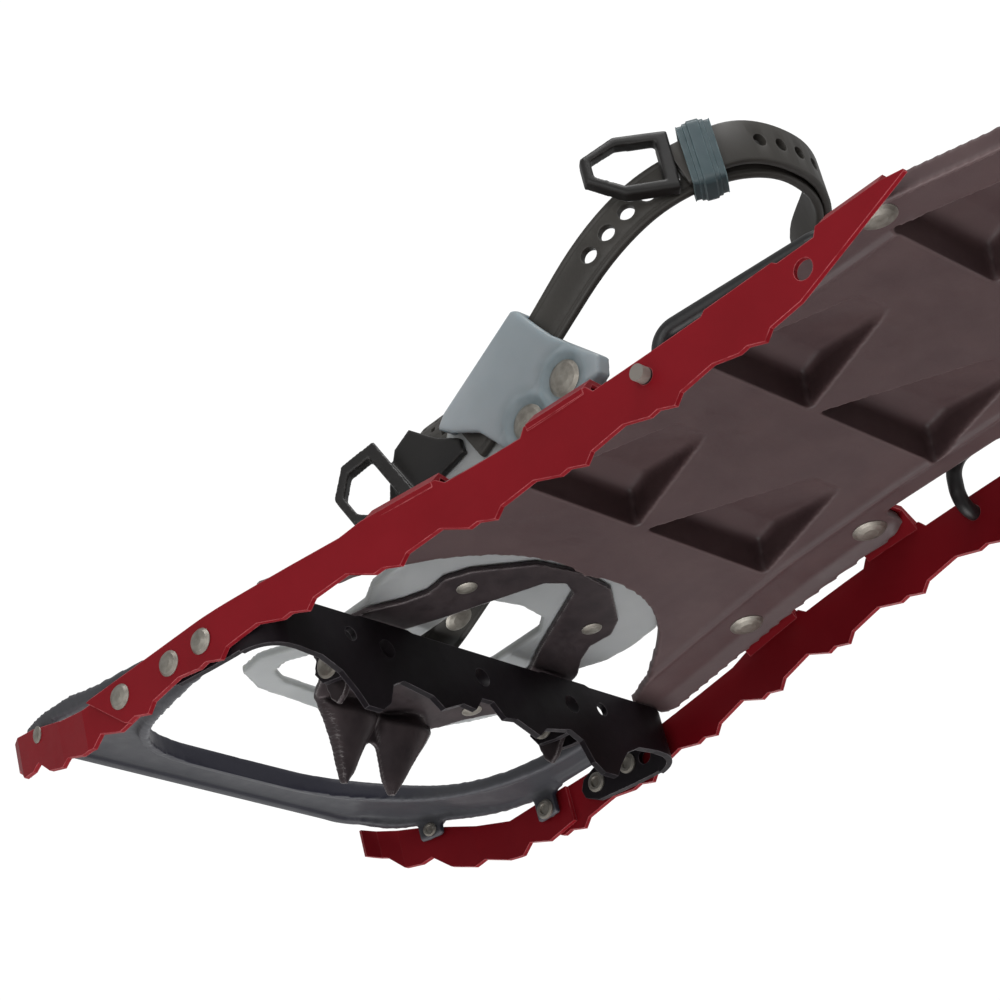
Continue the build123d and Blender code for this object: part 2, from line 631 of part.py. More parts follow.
# left strap: through the left sleeve, round the heel inside the right strap, with round holes
with BuildPart() as left_strap:
    with BuildSketch(level_plane(0)):
        with BuildLine():
            left_path = FilletPolyline((STRAP_X, 87.5), (STRAP_X, 150), (18, 190), (-18, 190), (-30, 167.5),
                                       radius=STRAP_BEND_R)
        trace(left_path, line_width=STRAP_T)
    extrude(amount=130)
    add(prism(band(STRAP_LINE, STRAP_W), side_plane(-70), 140), mode=Mode.INTERSECT)
    for hole in range(3):
        with BuildSketch(side_plane(30)):
            with Locations((134 + hole * HOLE_PITCH * 0.8, 54.5 + hole * HOLE_PITCH * 0.57)):
                Circle(HOLE_R)
        extrude(amount=30, mode=Mode.SUBTRACT)
    diagonal = Vector(18 - STRAP_X, 190 - 150, 0).normalized()
    outward = Vector(diagonal.Y, -diagonal.X, 0)
    for along in (12, 21):
        place = Vector(STRAP_X, STATION + 150, GROUND + 70) + diagonal * along + Vector(0, 0, along * 0.3)
        with BuildSketch(Plane(place - outward * 6, x_dir=diagonal, z_dir=outward)):
            Circle(HOLE_R)
        extrude(amount=12, mode=Mode.SUBTRACT)
    for hole in range(3):
        with BuildSketch(cross_plane(200)):
            with Locations((4 - hole * HOLE_PITCH, 80.5)):
                Circle(HOLE_R)
        extrude(amount=20, mode=Mode.SUBTRACT)
save(left_strap.part, "left_strap")

# right strap: through the right sleeve, round the heel outside the left strap, to the heel buckle
with BuildPart() as right_strap:
    with BuildSketch(level_plane(0)):
        with BuildLine():
            right_path = FilletPolyline((-STRAP_X, 87.5), (-STRAP_X, 152), (-20, 193.6), (20, 193.6),
                                        (33.4, 174.4),
                                        radius=STRAP_BEND_R)
        trace(right_path, line_width=STRAP_T)
    extrude(amount=130)
    add(prism(band(STRAP_LINE, STRAP_W), side_plane(-70), 140), mode=Mode.INTERSECT)
save(right_strap.part, "right_strap")

# heel buckle: a moulded six-sided loop at the right strap's end
BUCKLE_T = 4.2
BUCKLE_BAR = 3.6


def hexagon(length, width):
    """Half-open six-sided loop outline: its strap end at zero, its tip at length."""
    return [(0, -width / 2), (length * 0.6, -width / 2), (length, -width * 0.2), (length, width * 0.2),
            (length * 0.6, width / 2), (0, width / 2)]


heel_dir = Vector(0.72, -0.69, 0.03).normalized()
heel_normal = heel_dir.cross(Vector(0, 0, 1)).normalized() * -1
heel_plane = Plane((33.9, STATION + 174.0, GROUND + 78.5), x_dir=heel_dir, z_dir=heel_normal)
with BuildPart() as heel_buckle:
    with BuildSketch(heel_plane):
        outline(hexagon(27, 21))
        outline([(BUCKLE_BAR + 0.5 + x * 0.74, y * 0.68) for x, y in hexagon(27, 21)], Mode.SUBTRACT)
    extrude(amount=BUCKLE_T / 2, both=True)
    outer_face = heel_buckle.faces().sort_by(Axis(heel_plane.origin, heel_plane.z_dir))[-1]
    fillet(outer_face.outer_wire().edges(), 1.0)
save(heel_buckle.part, "heel_buckle")

# forefoot buckle: a pad that flares out of the left sleeve, with a six-sided loop in front
fore_dir = Vector(0.42, -0.82, -0.38).normalized()
PAD_SIDE = [(84.2, 33.6), (76, 38.6), (67, 47), (60, 44), (55, 34), (52, 24), (60, 21), (70, 25.5),
            (80, 27.5), (84.6, 28.5)]
fore_normal = fore_dir.cross(Vector(0, 0, 1)).normalized() * -1
fore_plane = Plane((48.8, STATION + 61, GROUND + 35), x_dir=fore_dir, z_dir=fore_normal)
with BuildPart() as forefoot_buckle:
    add(prism(PAD_SIDE, side_plane(STRAP_X - STRAP_T / 2), STRAP_T))
    with BuildSketch(fore_plane):
        outline(hexagon(20, 26))
        outline([(BUCKLE_BAR + 0.5 + x * 0.66, y * 0.70) for x, y in hexagon(20, 26)], Mode.SUBTRACT)
    extrude(amount=BUCKLE_T / 2, both=True)
save(forefoot_buckle.part, "forefoot_buckle")

# instep strap: from the right upstand over the foot to the forefoot buckle
with BuildPart() as instep_strap:
    with BuildSketch(cross_plane(78)):
        with BuildLine():
            arch = FilletPolyline((40.4, 15), (40.4, 46), (22, 60), (-22, 60), (-40.4, 46), (-40.4, 15),
                                  radius=12)
        trace(arch, line_width=STRAP_T)
    extrude(amount=18)
    for hole in range(5):
        with BuildSketch(side_plane(30)):
            with Locations((64.5, 30 + hole * 4.6), (73.5, 30 + hole * 4.6)):
                Rectangle(2.4, 2.4)
        extrude(amount=20, mode=Mode.SUBTRACT)
    with BuildSketch(side_plane(-60)):
        with Locations(*INSTEP_RIVETS):
            Circle(1.8)
    extrude(amount=60, mode=Mode.SUBTRACT)
save(instep_strap.part, "instep_strap")

with BuildPart() as instep_rivets:
    for station, height in INSTEP_RIVETS:
        with Locations(facing_in(-1, ARM_IN + ARM_T, station, height)):
            add(rivet(1.75, 3.6, 1.0, ARM_T + 0.5 + STRAP_T, 3.2, 0.9))
save(instep_rivets.part, "instep_rivets")

# keeper: a band round both heel strands
keeper_mid = Vector(27.2, STATION + 179.3, GROUND + 78.3)
keeper_plane = Plane(keeper_mid, x_dir=outward, z_dir=diagonal * -1)
with BuildPart() as heel_keeper:
    with BuildSketch(keeper_plane):
        RectangleRounded(11.6, STRAP_W + 6.6, 2)
        Rectangle(7.4, STRAP_W + 3.8, mode=Mode.SUBTRACT)
    extrude(amount=5.0, both=True)
save(heel_keeper.part, "heel_keeper")

# ---------------------------------------------------------------- centre strap
CENTRE_SIDE = [(18, 9.0), (22, 9.5), (52, 23.4), (54, 26.4), (52.6, 26.8), (21, 11.8), (18, 11.2)]
centre_seat = Plane((0, STATION + 31.6, GROUND + 13.4), x_dir=(1, 0, 0), z_dir=(0, -0.43, 0.90))
with BuildPart() as centre_strap:
    add(prism(CENTRE_SIDE, side_plane(-8.5), 17.0))
    with BuildSketch(centre_seat):
        Circle(1.8)
    extrude(amount=10, both=True, mode=Mode.SUBTRACT)
save(centre_strap.part, "centre_strap")

with BuildPart() as centre_rivet:
    with Locations(Location(centre_seat)):
        add(rivet(1.8, 4.5, 1.0, 3.4, 3.4, 1.0))
save(centre_rivet.part, "centre_rivet")

# ---------------------------------------------------------------- heel lift
LEG_X = 68.0
BAIL_END = 80.2           # where the wire's peened ends stop, outside the rails
with BuildPart() as heel_lift_bail:
    with BuildLine() as bail_path:
        FilletPolyline(
            (BAIL_END, STATION + BAIL_STATION, GROUND + BAIL_HEIGHT),
            (LEG_X, STATION + BAIL_STATION, GROUND + BAIL_HEIGHT),
            (LEG_X, STATION + BAIL_STATION + 2, GROUND + 5.8),
            (60, STATION + BAIL_STATION + 56, GROUND + 7.3),
            (-60, STATION + BAIL_STATION + 56, GROUND + 7.3),
            (-LEG_X, STATION + BAIL_STATION + 2, GROUND + 5.8),
            (-LEG_X, STATION + BAIL_STATION, GROUND + BAIL_HEIGHT),
            (-BAIL_END, STATION + BAIL_STATION, GROUND + BAIL_HEIGHT),
            radius=6.5,
        )
    with BuildSketch(Plane((BAIL_END, STATION + BAIL_STATION, GROUND + BAIL_HEIGHT), z_dir=(-1, 0, 0))):
        Circle(BAIL_R)
    sweep(path=bail_path.wires()[0])
save(heel_lift_bail.part, "heel_lift_bail")
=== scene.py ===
"""Looks for a moulded-deck snowshoe: materials for the CAD metalwork, and soft pieces built around it.

Row frame in metres: +Z up, the nose points to -Y, +X is the wearer's left.
"""

import json
import math

import bmesh
import bpy
import numpy as np
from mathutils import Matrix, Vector


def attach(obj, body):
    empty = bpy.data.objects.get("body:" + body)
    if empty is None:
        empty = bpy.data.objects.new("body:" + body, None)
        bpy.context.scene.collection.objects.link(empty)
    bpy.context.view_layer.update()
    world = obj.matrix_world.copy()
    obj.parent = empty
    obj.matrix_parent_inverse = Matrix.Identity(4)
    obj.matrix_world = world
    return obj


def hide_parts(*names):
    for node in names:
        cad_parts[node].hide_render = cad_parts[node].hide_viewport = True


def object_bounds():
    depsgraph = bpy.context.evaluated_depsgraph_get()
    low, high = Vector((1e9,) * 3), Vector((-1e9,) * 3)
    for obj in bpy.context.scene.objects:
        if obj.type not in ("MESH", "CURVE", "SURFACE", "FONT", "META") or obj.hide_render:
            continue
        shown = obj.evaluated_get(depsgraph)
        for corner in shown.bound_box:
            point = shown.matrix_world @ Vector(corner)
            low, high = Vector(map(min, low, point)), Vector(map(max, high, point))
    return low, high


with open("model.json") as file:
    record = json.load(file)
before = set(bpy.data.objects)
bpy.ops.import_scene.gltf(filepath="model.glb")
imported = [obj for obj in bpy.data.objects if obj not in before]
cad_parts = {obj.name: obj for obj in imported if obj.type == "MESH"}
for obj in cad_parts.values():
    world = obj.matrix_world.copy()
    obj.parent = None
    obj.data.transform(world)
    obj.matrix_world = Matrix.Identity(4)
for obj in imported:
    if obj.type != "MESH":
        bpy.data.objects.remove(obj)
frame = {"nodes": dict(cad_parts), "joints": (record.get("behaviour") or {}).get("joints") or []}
nodes = frame["nodes"]
cad_low, cad_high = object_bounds()
scene = bpy.context.scene

# ---------------------------------------------------------------- places, from the frame
pivot = next(j for j in frame["joints"] if j["name"] == "binding_pivot")["pos_m"]
MM = 0.001
STATION_Y = pivot[1] - 21 * MM        # y of station 0; the binding's pivot is at station 21
DECK_Z = pivot[2] + 10 * MM           # height 0 is the deck's underside; the pivot is 10 mm below it
STRAP_X = 46.0                        # half distance between the straps beside the boot
STRAP_W = 15.0
STRAP_T = 2.6
STRAP_LINE = [(60, 19.5), (88, 30), (122, 46), (148, 64.5), (171, 76.5), (200, 82.5)]   # station, height
SLEEVE_RIVETS = ((112, 20.6), (128, 26))
ARM_OUT = 44.6                        # outer face of the upstands
SIDES = {1: "left", -1: "right"}


def at(x, station, height):
    """A point of the row frame from x, station and height in millimetres."""
    return Vector((x * MM, STATION_Y + station * MM, DECK_Z + height * MM))


def smoothstep(low, high, value):
    t = np.clip((value - low) / (high - low), 0, 1)
    return t * t * (3 - 2 * t)


# ---------------------------------------------------------------- materials
def socket_mix(tree, factor, first, second):
    """A colour mix node: factor may be a number or a socket; the colours may be tuples or sockets."""
    mix = tree.nodes.new("ShaderNodeMix")
    mix.data_type = "RGBA"
    for index, value in ((0, factor), (6, first), (7, second)):
        if isinstance(value, bpy.types.NodeSocket):
            tree.links.new(value, mix.inputs[index])
        else:
            mix.inputs[index].default_value = value
    return mix.outputs[2]


def noise(tree, coords, scale, detail=3.0, stretch=None):
    """A noise texture's factor, with features about 1/scale metres long."""
    source = coords
    if stretch:
        mapping = tree.nodes.new("ShaderNodeMapping")
        mapping.inputs["Scale"].default_value = stretch
        tree.links.new(coords, mapping.inputs["Vector"])
        source = mapping.outputs["Vector"]
    texture = tree.nodes.new("ShaderNodeTexNoise")
    texture.inputs["Scale"].default_value = scale
    texture.inputs["Detail"].default_value = detail
    tree.links.new(source, texture.inputs["Vector"])
    return texture.outputs["Fac"]


def ranged(tree, value, from_low, from_high, to_low, to_high):
    node = tree.nodes.new("ShaderNodeMapRange")
    tree.links.new(value, node.inputs["Value"])
    limits = {"From Min": from_low, "From Max": from_high, "To Min": to_low, "To Max": to_high}
    for name, number in limits.items():
        node.inputs[name].default_value = number
    return node.outputs["Result"]


def multiplied(tree, first, second):
    node = tree.nodes.new("ShaderNodeMath")
    node.operation = "MULTIPLY"
    tree.links.new(first, node.inputs[0])
    tree.links.new(second, node.inputs[1])
    return node.outputs[0]


def painted_edge_light_mask(tree, coords, radius, break_up):
    """One along sharp edges, broken up by noise, and zero on flat faces: it places the light painted along
    edges.
    """
    bevel = tree.nodes.new("ShaderNodeBevel")
    bevel.samples = 6
    bevel.inputs["Radius"].default_value = radius
    geometry = tree.nodes.new("ShaderNodeNewGeometry")
    dot = tree.nodes.new("ShaderNodeVectorMath")
    dot.operation = "DOT_PRODUCT"
    tree.links.new(bevel.outputs["Normal"], dot.inputs[0])
    tree.links.new(geometry.outputs["True Normal"], dot.inputs[1])
    edges = ranged(tree, dot.outputs["Value"], 0.995, 0.90, 0.0, 1.0)
    patchy = ranged(tree, noise(tree, coords, break_up), 0.35, 0.55, 0.25, 1.0)
    return multiplied(tree, edges, patchy)


def curvature_light_mask(tree, low, high):
    """One where a moulding's surface is sharply convex (low under high), or hollow (low over high): convex
    places get a painted highlight, hollows a painted shade.
    """
    geometry = tree.nodes.new("ShaderNodeNewGeometry")
    return ranged(tree, geometry.outputs["Pointiness"], low, high, 0.0, 1.0)


def finish(name, base, second, roughness, metallic=0.0, mottle=60.0, grain=1600.0, grain_depth=0.00004,
           swell=0.0, edge=None, lips=None, stretch=None, sockets=()):
    """A procedural finish: two mottled colours, uneven roughness and a fine grain.

    edge is the colour and radius of a painted highlight along the edges of crisp pieces (a darker painted
    shade on the two urethanes); lips is the colours of a painted highlight on ridges and a painted shade
    in hollows on softened ones; swell is the depth in metres of slow waves in the surface.
    """
    material = bpy.data.materials.new(name)
    material.use_nodes = True
    tree = material.node_tree
    shader = tree.nodes["Principled BSDF"]
    coords = tree.nodes.new("ShaderNodeTexCoord").outputs["Object"]
    patches = ranged(tree, noise(tree, coords, mottle, 4.0), 0.35, 0.65, 0.0, 1.0)
    colour = socket_mix(tree, patches, (*base, 1), (*second, 1))
    if edge:
        edge_light_colour, radius = edge
        # painted light along edges: a highlight on most finishes, a darker painted shade on the urethanes
        colour = socket_mix(tree, painted_edge_light_mask(tree, coords, radius, 300.0), colour, (*edge_light_colour, 1))
    if lips:
        # painted highlight on convex ridges, painted shade in hollows
        pale, hollow_shade = lips
        colour = socket_mix(tree, curvature_light_mask(tree, 0.515, 0.60), colour, (*pale, 1))
        colour = socket_mix(tree, curvature_light_mask(tree, 0.485, 0.40), colour, (*hollow_shade, 1))
    tree.links.new(colour, shader.inputs["Base Color"])
    clouds = noise(tree, coords, mottle * 3, 3.0, stretch)
    uneven = ranged(tree, clouds, 0.3, 0.7, roughness - 0.06, roughness + 0.07)
    tree.links.new(uneven, shader.inputs["Roughness"])
    shader.inputs["Metallic"].default_value = metallic
    bump = tree.nodes.new("ShaderNodeBump")
    bump.inputs["Strength"].default_value = 0.6
    bump.inputs["Distance"].default_value = grain_depth
    tree.links.new(noise(tree, coords, grain, 2.0, stretch), bump.inputs["Height"])
    if swell:
        waves = tree.nodes.new("ShaderNodeBump")
        waves.inputs["Strength"].default_value = 0.5
        waves.inputs["Distance"].default_value = swell
        tree.links.new(noise(tree, coords, 45.0, 1.0), waves.inputs["Height"])
        tree.links.new(waves.outputs["Normal"], bump.inputs["Normal"])
    tree.links.new(bump.outputs["Normal"], shader.inputs["Normal"])
    for socket, value in sockets:
        shader.inputs[socket].default_value = value
    return material


# the edge colours are painted highlights along crisp edges, a darker painted shade on the two urethanes;
# the lips colours are a painted highlight on ridges and a painted shade in hollows
deck_plastic = finish("deck_plastic", (0.092, 0.057, 0.058), (0.079, 0.048, 0.050), 0.47, swell=0.00012,
                      lips=((0.19, 0.135, 0.135), (0.035, 0.020, 0.021)),
                      sockets=(("Specular IOR Level", 0.35),))
nose_plastic = finish("nose_plastic", (0.056, 0.057, 0.064), (0.046, 0.047, 0.054), 0.46, swell=0.0002,
                      lips=((0.12, 0.12, 0.135), (0.020, 0.020, 0.024)),
                      sockets=(("Specular IOR Level", 0.3),))
red_coat = finish("red_coat", (0.225, 0.0065, 0.0125), (0.200, 0.0055, 0.0105), 0.42, mottle=35.0,
                  grain=900.0, grain_depth=0.00002, edge=((0.50, 0.12, 0.13), 0.0004),
                  sockets=(("Specular IOR Level", 0.14),))
black_coat = finish("black_coat", (0.0105, 0.0075, 0.0105), (0.008, 0.006, 0.008), 0.45, grain=1100.0,
                    grain_depth=0.00004, edge=((0.12, 0.11, 0.12), 0.0004),
                    sockets=(("Specular IOR Level", 0.2),))
crampon_steel = finish("crampon_steel", (0.066, 0.051, 0.054), (0.046, 0.036, 0.039), 0.36, metallic=0.5,
                       mottle=120.0, grain=700.0, grain_depth=0.00002, stretch=(1.0, 1.0, 0.15),
                       edge=((0.26, 0.24, 0.24), 0.0004), sockets=(("Specular IOR Level", 0.3),))
rivet_metal = finish("rivet_metal", (0.36, 0.34, 0.30), (0.25, 0.23, 0.20), 0.43, metallic=0.85,
                     mottle=350.0, grain=2500.0, grain_depth=0.00003, edge=((0.52, 0.50, 0.45), 0.0004))
urethane = finish("urethane", (0.40, 0.435, 0.46), (0.31, 0.355, 0.38), 0.38, mottle=28.0, grain=1300.0,
                  grain_depth=0.00002, swell=0.0003, edge=((0.24, 0.31, 0.33), 0.0012),
                  sockets=(("Subsurface Weight", 0.55), ("Subsurface Radius", (0.006, 0.008, 0.009)),
                           ("Subsurface Scale", 0.6), ("Transmission Weight", 0.15), ("IOR", 1.45)))
cream_urethane = finish("cream_urethane", (0.42, 0.435, 0.44), (0.35, 0.365, 0.37), 0.42, mottle=30.0,
                        grain=1300.0, grain_depth=0.00002, swell=0.0003, edge=((0.28, 0.30, 0.29), 0.0012),
                        sockets=(("Subsurface Weight", 0.5), ("Subsurface Radius", (0.008, 0.008, 0.007)),
                                 ("Subsurface Scale", 0.6), ("Transmission Weight", 0.12), ("IOR", 1.45)))
strap_rubber = finish("strap_rubber", (0.054, 0.050, 0.044), (0.040, 0.037, 0.033), 0.44, mottle=50.0,
                      grain=1500.0, grain_depth=0.00003, stretch=(1.0, 1.0, 0.3),
                      edge=((0.085, 0.082, 0.076), 0.0005),
                      sockets=(("Specular IOR Level", 0.35),))
buckle_nylon = finish("buckle_nylon", (0.017, 0.016, 0.015), (0.013, 0.012, 0.012), 0.38, grain=1500.0,
                      grain_depth=0.00003, edge=((0.07, 0.066, 0.064), 0.0005),
                      sockets=(("Specular IOR Level", 0.35),))
keeper_rubber = finish("keeper_rubber", (0.075, 0.110, 0.120), (0.055, 0.085, 0.096), 0.36, mottle=90.0,
                       grain=1500.0, grain_depth=0.00003, edge=((0.16, 0.21, 0.225), 0.0004),
                       sockets=(("Subsurface Weight", 0.3), ("Subsurface Radius", (0.003, 0.004, 0.004)),
                                ("Subsurface Scale", 0.5)))
bail_coat = finish("bail_coat", (0.016, 0.016, 0.016), (0.012, 0.012, 0.013), 0.35, mottle=120.0,
                   grain=900.0, grain_depth=0.00003, edge=((0.08, 0.08, 0.08), 0.0004))


def recoloured(material, second, mask):
    """Lays a second colour over a finish, wherever mask(tree) is one."""
    tree = material.node_tree
    base = tree.nodes["Principled BSDF"].inputs["Base Color"]
    first = base.links[0].from_socket
    tree.links.new(socket_mix(tree, mask(tree), first, (*second, 1)), base)


def tail_facing_shade(tree):
    """One on faces that look towards the tail, the bow's inner wall, where a darker painted shade goes."""
    parts = tree.nodes.new("ShaderNodeSeparateXYZ")
    tree.links.new(tree.nodes.new("ShaderNodeNewGeometry").outputs["Normal"], parts.inputs[0])
    return ranged(tree, parts.outputs["Y"], 0.45, 0.75, 0.0, 1.0)


def wire_ends(tree):
    """One on the wire's peened ends, outside the rails."""
    parts = tree.nodes.new("ShaderNodeSeparateXYZ")
    size = tree.nodes.new("ShaderNodeMath")
    size.operation = "ABSOLUTE"
    tree.links.new(tree.nodes.new("ShaderNodeTexCoord").outputs["Object"], parts.inputs[0])
    tree.links.new(parts.outputs["X"], size.inputs[0])
    return ranged(tree, size.outputs[0], 0.0768, 0.0772, 0.0, 1.0)


def around_rivets(tree):
    """One close to the sleeves' rivets, fading outwards, and uneven."""
    coords = tree.nodes.new("ShaderNodeTexCoord").outputs["Object"]
    mask = None
    for station, height in SLEEVE_RIVETS:
        centre = at(0, station, height)
        flat = tree.nodes.new("ShaderNodeVectorMath")
        flat.operation = "MULTIPLY"
        flat.inputs[1].default_value = (0, 1, 1)
        tree.links.new(coords, flat.inputs[0])
        apart = tree.nodes.new("ShaderNodeVectorMath")
        apart.operation = "DISTANCE"
        apart.inputs[1].default_value = (0, centre.y, centre.z)
        tree.links.new(flat.outputs[0], apart.inputs[0])
        ring = ranged(tree, apart.outputs["Value"], 0.0055, 0.0125, 0.85, 0.0)
        if mask is None:
            mask = ring
        else:
            both = tree.nodes.new("ShaderNodeMath")
            both.operation = "MAXIMUM"
            tree.links.new(mask, both.inputs[0])
            tree.links.new(ring, both.inputs[1])
            mask = both.outputs[0]
    return multiplied(tree, mask, ranged(tree, noise(tree, coords, 140.0), 0.3, 0.6, 0.55, 1.0))


# painted shade: the bow's faces that look towards the tail are drawn darker
recoloured(nose_plastic, (0.020, 0.020, 0.032), tail_facing_shade)
# a darker teal close to the sleeves' rivets, fading outwards
recoloured(urethane, (0.13, 0.185, 0.205), around_rivets)
recoloured(bail_coat, (0.21, 0.19, 0.17), wire_ends)


# ---------------------------------------------------------------- mesh helpers
def coordinates(obj):
    flat = np.zeros(len(obj.data.vertices) * 3)
    obj.data.vertices.foreach_get("co", flat)
    return flat.reshape(-1, 3)


def set_coordinates(obj, points):
    obj.data.vertices.foreach_set("co", np.asarray(points, np.float32).ravel())
    obj.data.update()


def evaluated(obj):
    """Applies obj's modifiers to its mesh."""
    depsgraph = bpy.context.evaluated_depsgraph_get()
    mesh = bpy.data.meshes.new_from_object(obj.evaluated_get(depsgraph))
    obj.modifiers.clear()
    obj.data = mesh
    return obj


def shade(obj, angle=35.0):
    obj.data.shade_smooth()
    obj.data.set_sharp_from_angle(angle=math.radians(angle))


def linked(name, mesh):
    obj = bpy.data.objects.new(name, mesh)
    scene.collection.objects.link(obj)
    return obj


def place(obj, body, material, slot, *replaced):
    """Last step of every piece: its material, the body it rides on and the CAD nodes it stands for."""
    obj.data.materials.clear()
    obj.data.materials.append(material)
    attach(obj, body)
    if replaced:
        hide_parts(*replaced)
    return obj


def softened(node, name, voxel, rounds):
    """A moulded version of a CAD node: remeshed finely, with its edges and inner corners rounded off."""
    obj = linked(name, nodes[node].data.copy())
    remesh = obj.modifiers.new("remesh", "REMESH")
    remesh.mode = "VOXEL"
    remesh.voxel_size = voxel
    smooth = obj.modifiers.new("smooth", "SMOOTH")
    smooth.factor = 0.5
    smooth.iterations = rounds
    evaluated(obj)
    obj.data.shade_smooth()
    return obj


def in_shoe(points):
    """Row-frame points in metres as x, station and height in millimetres."""
    return np.stack([points[:, 0] / MM, (points[:, 1] - STATION_Y) / MM, (points[:, 2] - DECK_Z) / MM], 1)


def in_row(points):
    return np.stack([points[:, 0] * MM, points[:, 1] * MM + STATION_Y, points[:, 2] * MM + DECK_Z], 1)


# ---------------------------------------------------------------- CAD metalwork: softer edges and finishes
def dress(node, material, bevel=0.0):
    obj = nodes[node]
    obj.data.materials.clear()
    obj.data.materials.append(material)
    shade(obj)
    if bevel:
        rounding = obj.modifiers.new("rounding", "BEVEL")
        rounding.width = bevel
        rounding.segments = 2
        rounding.limit_method = "ANGLE"
        rounding.angle_limit = math.radians(40)
        rounding.harden_normals = False


for side in SIDES.values():
    dress(f"rail_{side}", red_coat, 0.00022)
    dress(f"corner_plate_{side}", red_coat, 0.00022)
dress("crossbar", black_coat, 0.00025)
dress("heel_lift_bail", bail_coat)
for fastener in ("ear_rivets", "corner_rivets", "nose_rivets", "deck_rivets", "hinge_pins",
                 "crampon_eyelets", "sleeve_rivets", "instep_rivets", "centre_rivet"):
    dress(fastener, rivet_metal)

# ---------------------------------------------------------------- mouldings
# the deck's side edge: station, and distance from the middle
EDGE_STATIONS = (33, 72, 114, 160, 205, 250)
EDGE_OUT = (90.6, 83.0, 75.6, 72.0, 71.0, 70.7)
FLANGE_DROP = 2.2
RIDGE_INBOARD = 19.0


def flange_and_ridge(obj):
    """Turns the deck's long edges down towards the rails, with a low ridge on the underside inboard."""
    p = in_shoe(coordinates(obj))
    side = np.sign(p[:, 0])
    out = np.abs(p[:, 0])
    edge = np.interp(p[:, 1], EDGE_STATIONS, EDGE_OUT)
    along = smoothstep(30, 40, p[:, 1]) * smoothstep(252, 244, p[:, 1])
    notch = smoothstep(144, 150, p[:, 1]) * smoothstep(200, 194, p[:, 1])
    fall = along * (1 - notch) * smoothstep(edge - 5.5, edge - 0.8, out)
    ridge = along * np.exp(-((out - edge + RIDGE_INBOARD) / 1.3) ** 2)
    p[:, 0] += side * 0.8 * fall
    p[:, 2] -= FLANGE_DROP * fall + 0.8 * ridge
    set_coordinates(obj, in_row(p))


LIP_FROM = 8.0            # height above which the bow's front corners are drawn down


def thin_lip(obj):
    """Draws the bow's front corners down to the thin lip that stands over the corner plates."""
    p = in_shoe(coordinates(obj))
    share = smoothstep(70, 84, np.abs(p[:, 0])) * smoothstep(-34, -54, p[:, 1])
    over = np.clip(p[:, 2] - LIP_FROM, 0, None)
    p[:, 2] -= 0.45 * share * over
    set_coordinates(obj, in_row(p))


# the claws' slanted blade: a point of it, the way up along it and the way out of its front
BLADE_FOOT = np.array((0, -10.0, 2.0))
BLADE_UP = np.array((0, 0.394, 0.919))
BLADE_FRONT = np.array((0, -0.919, 0.394))


def rounded_claws(obj):
    """Fairs each claw's flute into the blade beside it, so that it reads as one rounded cone."""
    p = in_shoe(coordinates(obj))
    normals = np.zeros(len(p) * 3)
    obj.data.vertices.foreach_get("normal", normals)
    rise = (p - BLADE_FOOT) @ BLADE_UP
    depth = (p - BLADE_FOOT) @ BLADE_FRONT
    half = np.interp(rise, [-24.4, -20, -13.5, -10, -6.5, 0], [0.8, 3.6, 6.3, 8.0, 10.0, 12.5])
    bulge = np.interp(rise, [-24.4, 0], [1.1, 8.3])
    off_axis = np.abs(p[:, 0]) - np.interp(rise, [-23.5, 0.5], [10.5, 12.1])
    target = -0.8 - bulge * np.sqrt(np.clip(1 - (off_axis / half) ** 2, 0, 1))
    share = smoothstep(0.0, -0.25, normals.reshape(-1, 3) @ BLADE_FRONT) * smoothstep(1.5, -3.0, rise)
    share *= (np.abs(p[:, 0]) < 27) & (np.abs(depth) < 12)
    p += BLADE_FRONT * np.minimum(share * (target - depth), 0)[:, None]
    set_coordinates(obj, in_row(p))
    group = obj.vertex_groups.new(name="claws")
    for index in np.nonzero((rise < 1.5) & (np.abs(p[:, 0]) < 27) & (np.abs(depth) < 12))[0]:
        group.add([int(index)], 1.0, "REPLACE")
    even = obj.modifiers.new("even", "SMOOTH")
    even.factor = 0.5
    even.iterations = 8
    even.vertex_group = "claws"
    evaluated(obj)
    obj.vertex_groups.clear()
    obj.data.shade_smooth()


deck = softened("deck", "moulded_deck", 0.0010, 4)
flange_and_ridge(deck)
place(deck, "frame", deck_plastic, "deck_moulding", "deck")

bow = softened("nose_bow", "moulded_nose_bow", 0.0009, 6)
thin_lip(bow)
place(bow, "frame", nose_plastic, "nose_moulding", "nose_bow")

claws = softened("crampon", "forged_crampon", 0.0006, 3)
rounded_claws(claws)
place(claws, "binding", crampon_steel, "crampon_steel", "crampon")

base = softened("binding_base", "urethane_base", 0.0008, 6)
place(base, "binding", cream_urethane, "urethane", "binding_base")


def crowned_sleeve(side):
    """The sleeve bulges over its strap, and a soft rim stands round each rivet."""
    obj = softened(f"sleeve_{SIDES[side]}", f"urethane_sleeve_{SIDES[side]}", 0.0006, 4)
    p = in_shoe(coordinates(obj))
    outward = p[:, 0] * side
    skin = smoothstep(ARM_OUT + 1.2, ARM_OUT + 3.4, outward)
    (y0, z0), (y1, z1) = STRAP_LINE[1:3]
    run = math.hypot(y1 - y0, z1 - z0)
    off_strap = ((p[:, 1] - y0) * -(z1 - z0) + (p[:, 2] - z0) * (y1 - y0)) / run
    crown = 2.6 * np.clip(1 - ((off_strap - 1.0) / 13.0) ** 2, 0, 1)
    rims = np.zeros(len(p))
    for station, height in SLEEVE_RIVETS:
        distance = np.hypot(p[:, 1] - station, p[:, 2] - height)
        rims += 0.9 * np.exp(-((distance - 8.2) / 1.6) ** 2)
        crown *= smoothstep(5.0, 12.0, distance)
    p[:, 0] += side * skin * (crown + rims)
    set_coordinates(obj, in_row(p))
    return place(obj, "binding", urethane, "urethane", f"sleeve_{SIDES[side]}")


for side in SIDES:
    crowned_sleeve(side)


